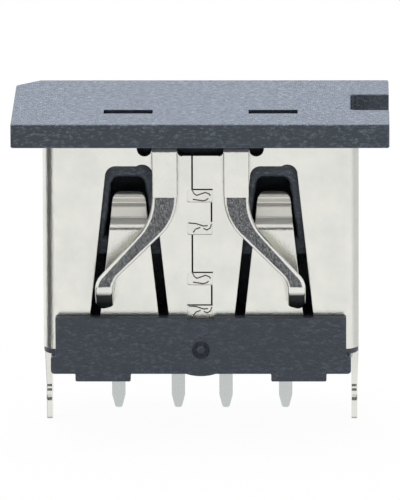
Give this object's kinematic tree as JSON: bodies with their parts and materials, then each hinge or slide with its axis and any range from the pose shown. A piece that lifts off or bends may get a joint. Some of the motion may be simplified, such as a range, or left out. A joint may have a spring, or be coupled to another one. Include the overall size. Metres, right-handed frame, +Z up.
{
  "type": "usb-a socket",
  "caption": "Upright through-hole board socket with a folded metal shield, grounding arms, spring windows and a push-in dust cap.",
  "frame": {"origin": "on the circuit board's face, under the middle of the shield", "axes": "+Z up out of the board along the way the plug goes in, +X along the row of contacts, -Y towards the side with the folded seam"},
  "size_m": [0.0156, 0.0089, 0.0134],
  "materials": {
    "shield_plate": "satin nickel plate on folded sheet",
    "housing_plastic": "moulded black plastic",
    "cap_plastic": "moulded black plastic",
    "contact_plate": "tin plate on a copper alloy"
  },
  "bodies": {
    "root": {"shield": "shield_plate", "insulator": "housing_plastic", "cap": "cap_plastic", "contact_outer_left": "contact_plate", "contact_inner_left": "contact_plate", "contact_inner_right": "contact_plate", "contact_outer_right": "contact_plate"}
  },
  "joints": []
}
